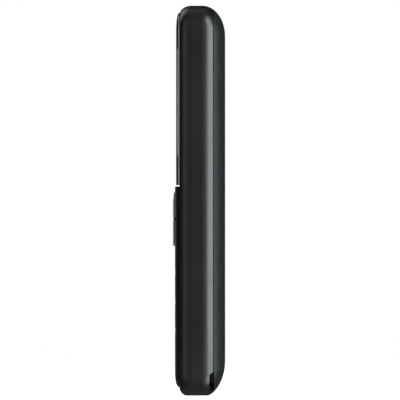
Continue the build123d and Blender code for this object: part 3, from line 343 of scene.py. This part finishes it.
def clear_acrylic(edge):
    """Clear cast acrylic: polished faces that show what lies behind, and milled side edges that scatter the
    light and read as frosted grey. Cutter marks on the edges are drawn 0.4 mm apart, coarser than the real
    ones so that they show."""
    material, tree, place = start_material("Clear acrylic")
    facing = add(tree, "ShaderNodeTexCoord")
    parts = add(tree, "ShaderNodeSeparateXYZ", {"Vector": facing.outputs["Normal"]})
    sideways = add(tree, "ShaderNodeMath", {0: parts.outputs["X"]}, operation="ABSOLUTE")
    milled = add(tree, "ShaderNodeMapRange", {
        "Value": sideways.outputs["Value"],
        "From Min": 0.5,
        "From Max": 0.8,
    })
    smear = add(tree, "ShaderNodeTexNoise", {"Vector": place, "Scale": 1.0 / SMEAR_SIZE, "Detail": 3.0})
    polish = add(tree, "ShaderNodeMapRange", {
        "Value": smear.outputs["Fac"],
        "From Min": 0.35,
        "From Max": 0.7,
        "To Min": 0.02,
        "To Max": 0.07,
    })
    clear = add(tree, "ShaderNodeBsdfPrincipled", {
        "Base Color": opaque(linear("#f7f8f8")),
        "IOR": ACRYLIC_IOR,
        "Transmission Weight": 1.0,
        "Roughness": polish.outputs["Result"],
    })
    marks = add(tree, "ShaderNodeTexNoise", {"Vector": place, "Scale": 1.0 / CUTTER_MARK, "Detail": 2.0})
    tint = add(tree, "ShaderNodeMixRGB", {
        "Fac": marks.outputs["Fac"],
        "Color1": opaque(edge, 0.8),
        "Color2": opaque(edge, 1.2),
    })
    bump = add(tree, "ShaderNodeBump", {"Height": marks.outputs["Fac"], "Distance": 0.01 * MM})
    frosted = add(tree, "ShaderNodeBsdfPrincipled", {
        "Base Color": tint.outputs["Color"],
        "IOR": ACRYLIC_IOR,
        "Roughness": 0.5,
        "Normal": bump.outputs["Normal"],
    })
    both = add(tree, "ShaderNodeMixShader", {
        "Fac": milled.outputs["Result"],
        1: clear.outputs["BSDF"],
        2: frosted.outputs["BSDF"],
    })
    add(tree, "ShaderNodeOutputMaterial", {"Surface": both.outputs["Shader"]})
    return material


def display_glass(base):
    """Display that is switched off: a grid of dark cells under polished glass. The cells are drawn 0.5 mm
    apart instead of the real 0.2 mm so that they show."""
    material, tree, place = start_material("Liquid crystal display glass")
    turned = add(tree, "ShaderNodeMapping", {"Vector": place, "Rotation": FACING_FRONT})
    cells = add(tree, "ShaderNodeTexBrick", {
        "Vector": turned.outputs["Vector"],
        "Scale": 1.0 / CELL_SIZE,
        "Color1": opaque(base),
        "Color2": opaque(base, 1.06),
        "Mortar": opaque(base, 0.8),
        "Mortar Size": 0.06,
        "Brick Width": 1.0,
        "Row Height": 1.0,
    }, offset=0.0)
    glass = add(tree, "ShaderNodeBsdfPrincipled", {
        "Base Color": cells.outputs["Color"],
        "Roughness": 0.22,
        "Coat Weight": 0.6,
        "Coat Roughness": 0.05,
    })
    add(tree, "ShaderNodeOutputMaterial", {"Surface": glass.outputs["BSDF"]})
    return material


def woven_steel():
    """Plain woven steel mesh: two sets of round wires, with painted shade coloured into the holes between
    them.
    The wires are drawn 0.35 mm apart instead of the real 0.15 mm so that they show."""
    material, tree, place = start_material("Woven stainless steel mesh")
    spacing = {"Vector": place, "Scale": WAVE_PERIOD / WIRE_SPACING}
    across = add(tree, "ShaderNodeTexWave", spacing, bands_direction="X")
    along = add(tree, "ShaderNodeTexWave", spacing, bands_direction="Z")
    wires = add(tree, "ShaderNodeMath", {0: across.outputs["Fac"], 1: along.outputs["Fac"]},
                operation="MAXIMUM")
    # Painted shade: the holes between the wires get a near-black colour, standing in for the shade behind them
    tint = add(tree, "ShaderNodeMixRGB", {
        "Fac": wires.outputs["Value"],
        "Color1": opaque(linear("#050505")),
        "Color2": opaque(linear("#8c8c8a")),
    })
    bump = add(tree, "ShaderNodeBump", {"Height": wires.outputs["Value"], "Distance": 0.05 * MM})
    steel = add(tree, "ShaderNodeBsdfPrincipled", {
        "Base Color": tint.outputs["Color"],
        "Metallic": 1.0,
        "Roughness": 0.38,
        "Normal": bump.outputs["Normal"],
    })
    add(tree, "ShaderNodeOutputMaterial", {"Surface": steel.outputs["BSDF"]})
    return material


def circuit_board():
    """Epoxy glass board under green solder mask: copper tracks show as lighter, slightly raised bands about
    0.6 mm wide."""
    material, tree, place = start_material("Epoxy glass board with solder mask")
    blocks = add(tree, "ShaderNodeTexVoronoi", {"Vector": place, "Scale": 1.0 / TRACK_BLOCK},
                 distance="CHEBYCHEV", feature="F1")
    rings = add(tree, "ShaderNodeMath", {0: blocks.outputs["Distance"], 1: TRACK_SPACING / TRACK_BLOCK / 2.0},
                operation="PINGPONG")
    tracks = add(tree, "ShaderNodeMapRange", {
        "Value": rings.outputs["Value"],
        "From Min": 0.06,
        "From Max": 0.09,
    })
    tint = add(tree, "ShaderNodeMixRGB", {
        "Fac": tracks.outputs["Result"],
        "Color1": opaque(linear("#0f4a2c")),
        "Color2": opaque(linear("#1d6a40")),
    })
    bump = add(tree, "ShaderNodeBump", {"Height": tracks.outputs["Result"], "Distance": 0.03 * MM})
    mask = add(tree, "ShaderNodeBsdfPrincipled", {
        "Base Color": tint.outputs["Color"],
        "Roughness": 0.3,
        "Normal": bump.outputs["Normal"],
    })
    add(tree, "ShaderNodeOutputMaterial", {"Surface": mask.outputs["BSDF"]})
    return material


def printed_ink(name, base):
    """Ink pressed on with a pad: nearly even, with small darker spots 0.3 mm across where it lies thin."""
    material, tree, place = start_material(name)
    spots = add(tree, "ShaderNodeTexNoise", {"Vector": place, "Scale": 1.0 / INK_SPOT, "Detail": 2.0})
    tint = add(tree, "ShaderNodeMixRGB", {
        "Fac": spots.outputs["Fac"],
        "Color1": opaque(base, 0.85),
        "Color2": opaque(base),
    })
    ink = add(tree, "ShaderNodeBsdfPrincipled", {"Base Color": tint.outputs["Color"], "Roughness": 0.5})
    add(tree, "ShaderNodeOutputMaterial", {"Surface": ink.outputs["BSDF"]})
    return material


def dress(finishes):
    """Gives every node of a record slot its finish."""
    for part in frame["record"]["subparts"]:
        if part["material_slot"] in finishes:
            mesh = frame["nodes"][part["node"]].data
            mesh.materials.clear()
            mesh.materials.append(finishes[part["material_slot"]])


def lay_ink(name, node, material, depth):
    """Lays the active flat mark on the face of a key, gives it its thickness and lets it ride on the key."""
    mark = bpy.context.object
    mark.name = name
    bpy.ops.object.transform_apply(location=True, rotation=True, scale=True)
    bpy.ops.object.modifier_add(type="SHRINKWRAP")
    wrap = mark.modifiers[-1]
    wrap.target = frame["nodes"][node]
    wrap.wrap_method = "PROJECT"
    wrap.use_project_y = True
    wrap.use_positive_direction = True
    bpy.ops.object.modifier_apply(modifier=wrap.name)
    bpy.ops.object.mode_set(mode="EDIT")
    bpy.ops.mesh.select_all(action="SELECT")
    bpy.ops.mesh.remove_doubles(threshold=WELD_DISTANCE)
    bpy.ops.mesh.normals_make_consistent(inside=False)
    bpy.ops.object.mode_set(mode="OBJECT")
    if sum(face.normal.y * face.area for face in mark.data.polygons) > 0.0:
        bpy.ops.object.mode_set(mode="EDIT")
        bpy.ops.mesh.flip_normals()
        bpy.ops.object.mode_set(mode="OBJECT")
    bpy.ops.object.modifier_add(type="SOLIDIFY")
    skin = mark.modifiers[-1]
    skin.thickness = depth
    skin.offset = 1.0
    bpy.ops.object.modifier_apply(modifier=skin.name)
    mark.data.materials.clear()
    mark.data.materials.append(material)
    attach(mark, node)


def key_face(node):
    """Middle of a key and the height in front of it at which a mark starts."""
    low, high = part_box(node)
    return Vector(((low.x + high.x) / 2.0, low.y - PRINT_LIFT, (low.z + high.z) / 2.0))


def flat_start(node, across=0.0, up=0.0):
    """Clears the selection and gives the place and turn of a flat mark on a key."""
    bpy.ops.object.select_all(action="DESELECT")
    return {"location": key_face(node) + Vector((across, 0.0, up)), "rotation": FACING_FRONT}


def print_words(name, node, words, height, shift, material, depth):
    """Prints words on a key, shifted sideways from its middle."""
    start = flat_start(node, shift)
    bpy.ops.object.text_add(**start)
    text = bpy.context.object.data
    text.body = words
    text.size = height / CAPITAL_SHARE
    text.resolution_u = TEXT_STEPS
    bpy.ops.object.convert(target="MESH")
    bpy.ops.object.origin_set(type="ORIGIN_GEOMETRY", center="BOUNDS")
    bpy.context.object.location = start["location"]
    lay_ink(name, node, material, depth)


class HANDSET_OT_dress_shell(bpy.types.Operator):
    """Satin shell and matte battery cover"""

    bl_idname = "handset.dress_shell"
    bl_label = "Shell and battery cover"

    def execute(self, context):
        colours = context.scene.handset_colours
        dress({
            # Satin black with one soft, broad highlight along each rounded edge
            "shell_plastic": moulded_plastic("Satin moulded ABS", colours.shell, grain=0.5 * MM,
                                             depth=0.004 * MM, roughness=0.355, spread=0.025),
            # Even dark grey that shows no clear reflection
            "cover_plastic": moulded_plastic("Matte moulded ABS", colours.cover, grain=0.45 * MM,
                                             depth=0.012 * MM, roughness=0.5, spread=0.015),
        })
        return {"FINISHED"}


class HANDSET_OT_dress_face(bpy.types.Operator):
    """Window, bezels, display and key panels"""

    bl_idname = "handset.dress_face"
    bl_label = "Window and panels"

    def execute(self, context):
        colours = context.scene.handset_colours
        dress({
            "clear_acrylic": clear_acrylic(colours.window_edge),
            # Deep black that mirrors the room
            "black_acrylic": moulded_plastic("Gloss black acrylic", colours.bezel, grain=3.0 * MM,
                                             depth=0.001 * MM, roughness=0.09, spread=0.04),
            # Black with a clear but softer reflection
            "panel_plastic": moulded_plastic("Gloss polycarbonate", colours.panel, grain=0.6 * MM,
                                             depth=0.001 * MM, roughness=0.2),
            "display_glass": display_glass(colours.display),
            "woven_steel": woven_steel(),
        })
        return {"FINISHED"}


class HANDSET_OT_dress_keys(bpy.types.Operator):
    """Lacquered raised keys and moulded number keys"""

    bl_idname = "handset.dress_keys"
    bl_label = "Keys"

    def execute(self, context):
        colours = context.scene.handset_colours
        dress({
            "metallic_key_paint": metallic_lacquer(colours.raised_keys),
            # Satin black that stands out from the glossier panel
            "number_key_plastic": moulded_plastic("Satin moulded key ABS", colours.number_keys,
                                                  grain=0.4 * MM, depth=0.003 * MM, roughness=0.33),
        })
        return {"FINISHED"}


class HANDSET_OT_dress_inside(bpy.types.Operator):
    """Board, battery, chassis and the other pieces inside"""

    bl_idname = "handset.dress_inside"
    bl_label = "Inner pieces"

    def execute(self, context):
        finishes = {
            "circuit_board": circuit_board(),
            # Bright white that spreads the light behind the display
            "white_plastic": moulded_plastic("White polycarbonate", linear("#d9d9d4"), grain=0.5 * MM,
                                             depth=0.004 * MM, roughness=0.45, lift=1.05),
        }
        for slot, (name, code, grain, depth, roughness) in INNER_PLASTICS.items():
            finishes[slot] = moulded_plastic(name, linear(code), grain * MM, depth * MM, roughness)
        for slot, (name, code, roughness) in INNER_METALS.items():
            finishes[slot] = formed_metal(name, linear(code), roughness)
        dress(finishes)
        return {"FINISHED"}


class HANDSET_OT_print_numbers(bpy.types.Operator):
    """Digits, letters and signs on the number keys"""

    bl_idname = "handset.print_numbers"
    bl_label = "Number key marks"

    def execute(self, context):
        sizes = context.scene.handset_sizes
        ink = printed_ink("White pad printing ink", context.scene.handset_colours.ink)
        for digit, letters in KEY_LETTERS.items():
            node = "key_" + digit
            shift = -sizes.digit_shift if letters else 0.0
            print_words("digit_" + digit, node, digit, sizes.digit, shift, ink, sizes.ink_depth)
            if letters:
                print_words("letters_" + digit, node, letters, sizes.letter, sizes.letter_shift, ink,
                            sizes.ink_depth)
        for node, (sign, share) in KEY_SIGNS.items():
            name = "sign_" + node.removeprefix("key_")
            print_words(name, node, sign, sizes.digit * share, 0.0, ink, sizes.ink_depth)
        return {"FINISHED"}


class HANDSET_OT_print_soft_keys(bpy.types.Operator):
    """Dash on each soft key"""

    bl_idname = "handset.print_soft_keys"
    bl_label = "Soft key marks"

    def execute(self, context):
        sizes = context.scene.handset_sizes
        ink = printed_ink("White ink on lacquer", context.scene.handset_colours.ink)
        for node in ("soft_key_left", "soft_key_right"):
            bpy.ops.mesh.primitive_plane_add(size=1.0, **flat_start(node))
            bpy.context.object.scale = (sizes.dash_width, sizes.dash_height, 1.0)
            bpy.ops.object.transform_apply(location=False, rotation=False, scale=True)
            bpy.ops.object.mode_set(mode="EDIT")
            bpy.ops.mesh.select_all(action="SELECT")
            bpy.ops.mesh.bevel(offset=sizes.dash_height * DASH_ROUNDING, segments=6, affect="VERTICES")
            bpy.ops.object.mode_set(mode="OBJECT")
            lay_ink("dash_" + node.removeprefix("soft_key_"), node, ink, sizes.ink_depth)
        return {"FINISHED"}


class HANDSET_OT_print_call_keys(bpy.types.Operator):
    """Handset marks on the call and end keys"""

    bl_idname = "handset.print_call_keys"
    bl_label = "Call and end marks"

    def execute(self, context):
        sizes = context.scene.handset_sizes
        colours = context.scene.handset_colours
        inks = {
            "call_key": printed_ink("Green pad printing ink", colours.call_ink),
            "end_key": printed_ink("Red pad printing ink", colours.end_ink),
        }
        for node, ink in inks.items():
            self.draw_handset(key_face(node), sizes.handset_width / 2.0, sizes.handset_stroke)
            lay_ink("handset_mark_" + node.removesuffix("_key"), node, ink, sizes.ink_depth)
        return {"FINISHED"}

    def draw_handset(self, place, half, stroke):
        """Draws a flat handset: an arc, and a second stroke inside it at both ends."""
        outer = half / math.sin(HANDSET_SPAN / 2.0)
        inner = outer - 2.0 * stroke
        centre = place - Vector((0.0, 0.0, (outer + inner * math.cos(HANDSET_SPAN / 2.0)) / 2.0))
        spoke = Vector((-math.sin(HANDSET_SPAN / 2.0), 0.0, math.cos(HANDSET_SPAN / 2.0)))
        bpy.ops.object.select_all(action="DESELECT")
        bpy.ops.mesh.primitive_plane_add(size=2.0 * stroke, location=centre + spoke * (outer - stroke),
                                         rotation=(math.pi / 2.0, -HANDSET_SPAN / 2.0, 0.0))
        bpy.ops.object.mode_set(mode="EDIT")
        bpy.ops.mesh.select_all(action="SELECT")
        bpy.ops.mesh.delete(type="ONLY_FACE")
        bpy.ops.mesh.select_all(action="SELECT")
        bpy.ops.transform.resize(value=(0.0, 1.0, 1.0), orient_type="LOCAL")
        bpy.ops.mesh.remove_doubles(threshold=WELD_DISTANCE)
        bpy.ops.mesh.subdivide(number_cuts=1)
        bpy.ops.mesh.spin(steps=HANDSET_STEPS, angle=HANDSET_SPAN, center=centre, axis=(0.0, -1.0, 0.0))
        bpy.ops.mesh.select_mode(type="FACE")
        bpy.ops.mesh.select_all(action="DESELECT")
        bpy.ops.object.mode_set(mode="OBJECT")
        open_angle = HANDSET_SPAN * (0.5 - HANDSET_END_STEPS / HANDSET_STEPS)
        mark = bpy.context.object
        for face in mark.data.polygons:
            reach = mark.matrix_world @ face.center - centre
            face.select = reach.length < outer - stroke and abs(math.atan2(reach.x, reach.z)) < open_angle
        bpy.ops.object.mode_set(mode="EDIT")
        bpy.ops.mesh.delete(type="FACE")
        bpy.ops.mesh.select_mode(type="VERT")
        bpy.ops.object.mode_set(mode="OBJECT")


class HANDSET_OT_print_navigation(bpy.types.Operator):
    """Four arrows on the ring and the dot on the select key"""

    bl_idname = "handset.print_navigation"
    bl_label = "Navigation marks"

    def execute(self, context):
        sizes = context.scene.handset_sizes
        ink = printed_ink("White ink on the ring", context.scene.handset_colours.ink)
        low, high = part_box("nav_ring")
        reach_x = (high.x - low.x) / 2.0 - sizes.arrow_inset
        reach_z = (high.z - low.z) / 2.0 - sizes.arrow_inset
        arrows = {"up": (0.0, 1.0), "left": (-1.0, 0.0), "down": (0.0, -1.0), "right": (1.0, 0.0)}
        for turns, (way, (across, up)) in enumerate(arrows.items()):
            start = flat_start("nav_ring", across * reach_x, up * reach_z)
            start["rotation"] = (math.pi / 2.0, -turns * math.pi / 2.0, 0.0)
            bpy.ops.mesh.primitive_circle_add(vertices=3, radius=sizes.arrow, fill_type="NGON", **start)
            bpy.ops.object.mode_set(mode="EDIT")
            bpy.ops.mesh.select_all(action="SELECT")
            bpy.ops.mesh.bevel(offset=sizes.arrow * ARROW_ROUNDING, segments=3, affect="VERTICES")
            bpy.ops.object.mode_set(mode="OBJECT")
            lay_ink("arrow_" + way, "nav_ring", ink, sizes.ink_depth)
        bpy.ops.mesh.primitive_circle_add(vertices=32, radius=sizes.dot, fill_type="NGON",
                                          **flat_start("select_key"))
        bpy.ops.object.mode_set(mode="EDIT")
        bpy.ops.mesh.select_all(action="SELECT")
        bpy.ops.mesh.inset(thickness=sizes.dot * DOT_RING)
        bpy.ops.mesh.delete(type="FACE")
        bpy.ops.object.mode_set(mode="OBJECT")
        lay_ink("select_mark", "select_key", ink, sizes.ink_depth)
        return {"FINISHED"}


def place_light(name, round_angle, height_angle, distance, size, radiance):
    """A soft box aimed at the handset's middle, at angles round from the camera and up from the floor."""
    middle = Vector((0.0, 0.0, PICTURE_MIDDLE_Z))
    level = math.cos(math.radians(height_angle))
    way = Vector((level * math.cos(math.radians(round_angle)), level * math.sin(math.radians(round_angle)),
                  math.sin(math.radians(height_angle))))
    bpy.ops.object.select_all(action="DESELECT")
    bpy.ops.object.light_add(type="AREA", location=middle + way * distance)
    light = bpy.context.object
    light.name = name
    light.rotation_euler = (-way).to_track_quat("-Z", "Y").to_euler()
    light.data.shape = "RECTANGLE"
    light.data.size, light.data.size_y = size
    light.data.color = bpy.context.scene.handset_studio.light
    light.data.energy = radiance * math.pi * size[0] * size[1]
    light.visible_camera = False


class HANDSET_OT_set_stage(bpy.types.Operator):
    """Pale floor, soft lights, room and camera"""

    bl_idname = "handset.set_stage"
    bl_label = "Stage"

    def execute(self, context):
        studio = context.scene.handset_studio
        self.lay_floor()
        place_light("strip_light", round_angle=41.0, height_angle=4.0, distance=0.7, size=(0.34, 1.3),
                    radiance=studio.strip)
        place_light("front_light", round_angle=-33.0, height_angle=4.0, distance=0.8, size=(0.37, 1.1),
                    radiance=studio.front)
        place_light("face_light", round_angle=-120.0, height_angle=45.0, distance=0.8, size=(0.5, 0.6),
                    radiance=studio.face)
        place_light("overhead_light", round_angle=0.0, height_angle=89.0, distance=1.1, size=(0.9, 0.9),
                    radiance=studio.overhead)
        place_light("table_light", round_angle=0.0, height_angle=-89.0, distance=0.35, size=(0.5, 0.5),
                    radiance=studio.table)
        self.fill_room(context.scene, studio.room)
        self.set_camera(context.scene, studio.lens)
        context.scene.view_settings.view_transform = "Standard"
        return {"FINISHED"}

    def lay_floor(self):
        """White acrylic table: satin white that fades into the white room away from the handset."""
        bpy.ops.object.select_all(action="DESELECT")
        bpy.ops.mesh.primitive_circle_add(vertices=96, radius=FLOOR_RADIUS, fill_type="TRIFAN",
                                          location=(0.0, 0.0, -FLOOR_DROP))
        floor = bpy.context.object
        floor.name = "floor"
        bpy.ops.object.transform_apply(location=True, rotation=True, scale=True)
        material, tree, place = start_material("White acrylic table")
        distance = add(tree, "ShaderNodeVectorMath", {0: place}, operation="LENGTH")
        fade = add(tree, "ShaderNodeMapRange", {
            "Value": distance.outputs["Value"],
            "From Min": FLOOR_FADE_START,
            "From Max": FLOOR_FADE_END,
        }, interpolation_type="SMOOTHSTEP")
        satin = add(tree, "ShaderNodeTexNoise", {"Vector": place, "Scale": 1.0 / FLOOR_GRAIN})
        gloss = add(tree, "ShaderNodeMapRange", {"Value": satin.outputs["Fac"], "To Min": 0.5, "To Max": 0.6})
        sheet = add(tree, "ShaderNodeBsdfPrincipled", {
            "Base Color": opaque(linear("#f7f7f5")),
            "Roughness": gloss.outputs["Result"],
            "Emission Color": opaque(linear("#ffffff")),
            "Emission Strength": FLOOR_GLOW,
        })
        gone = add(tree, "ShaderNodeBsdfTransparent")
        both = add(tree, "ShaderNodeMixShader", {
            "Fac": fade.outputs["Result"],
            1: sheet.outputs["BSDF"],
            2: gone.outputs["BSDF"],
        })
        add(tree, "ShaderNodeOutputMaterial", {"Surface": both.outputs["Shader"]})
        floor.data.materials.append(material)
        # Reflections and light pass through the floor, so that the table light below it reaches the handset
        floor.visible_glossy = False
        floor.visible_shadow = False

    def fill_room(self, scene, brightness):
        """White room behind the handset, dim where surfaces reflect it, so that black plastic stays black."""
        world = bpy.data.worlds.new("Studio room")
        world.use_nodes = True
        tree = world.node_tree
        tree.nodes.clear()
        path = add(tree, "ShaderNodeLightPath")
        dim = add(tree, "ShaderNodeBackground", {"Color": opaque(linear("#ffffff")), "Strength": brightness})
        white = add(tree, "ShaderNodeBackground", {"Color": opaque(linear("#ffffff")), "Strength": 1.0})
        both = add(tree, "ShaderNodeMixShader", {
            "Fac": path.outputs["Is Camera Ray"],
            1: dim.outputs["Background"],
            2: white.outputs["Background"],
        })
        add(tree, "ShaderNodeOutputWorld", {"Surface": both.outputs["Shader"]})
        scene.world = world

    def set_camera(self, scene, lens):
        """Level camera that looks squarely at the side of the handset."""
        distance = PICTURE_DEPTH + PICTURE_HEIGHT * lens * MM / SENSOR
        bpy.ops.object.select_all(action="DESELECT")
        bpy.ops.object.camera_add(location=(distance, PICTURE_MIDDLE_Y, PICTURE_MIDDLE_Z),
                                  rotation=(math.pi / 2.0, 0.0, math.pi / 2.0))
        camera = bpy.context.object
        camera.data.lens = lens
        camera.data.sensor_width = SENSOR / MM
        scene.camera = camera


class HANDSET_PT_finishes(bpy.types.Panel):
    """Lists the steps that dress the handset"""

    bl_idname = "HANDSET_PT_finishes"
    bl_label = "Handset"
    bl_space_type = "VIEW_3D"
    bl_region_type = "UI"
    bl_category = "Handset"

    def draw(self, context):
        for operator in OPERATORS:
            self.layout.operator(operator.bl_idname)
        for group_name in GROUPS:
            group = getattr(context.scene, group_name)
            for name in group.__annotations__:
                self.layout.prop(group, name)


OPERATORS = (
    HANDSET_OT_dress_shell,
    HANDSET_OT_dress_face,
    HANDSET_OT_dress_keys,
    HANDSET_OT_dress_inside,
    HANDSET_OT_print_numbers,
    HANDSET_OT_print_soft_keys,
    HANDSET_OT_print_call_keys,
    HANDSET_OT_print_navigation,
    HANDSET_OT_set_stage,
)
GROUPS = {
    "handset_colours": HandsetColours,
    "handset_sizes": HandsetSizes,
    "handset_studio": HandsetStudio,
}


def register():
    """Registers the groups, operators and panel."""
    for name, group in GROUPS.items():
        bpy.utils.register_class(group)
        setattr(bpy.types.Scene, name, bpy.props.PointerProperty(type=group))
    for kind in (*OPERATORS, HANDSET_PT_finishes):
        bpy.utils.register_class(kind)


def unregister():
    """Takes the groups, operators and panel out again."""
    for kind in (HANDSET_PT_finishes, *OPERATORS):
        bpy.utils.unregister_class(kind)
    for name, group in GROUPS.items():
        delattr(bpy.types.Scene, name)
        bpy.utils.unregister_class(group)


def main():
    """Dresses the handset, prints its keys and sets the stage."""
    register()
    bpy.ops.handset.dress_shell()
    bpy.ops.handset.dress_face()
    bpy.ops.handset.dress_keys()
    bpy.ops.handset.dress_inside()
    bpy.ops.handset.print_numbers()
    bpy.ops.handset.print_soft_keys()
    bpy.ops.handset.print_call_keys()
    bpy.ops.handset.print_navigation()
    bpy.ops.handset.set_stage()


if __name__ == "__main__":
    main()
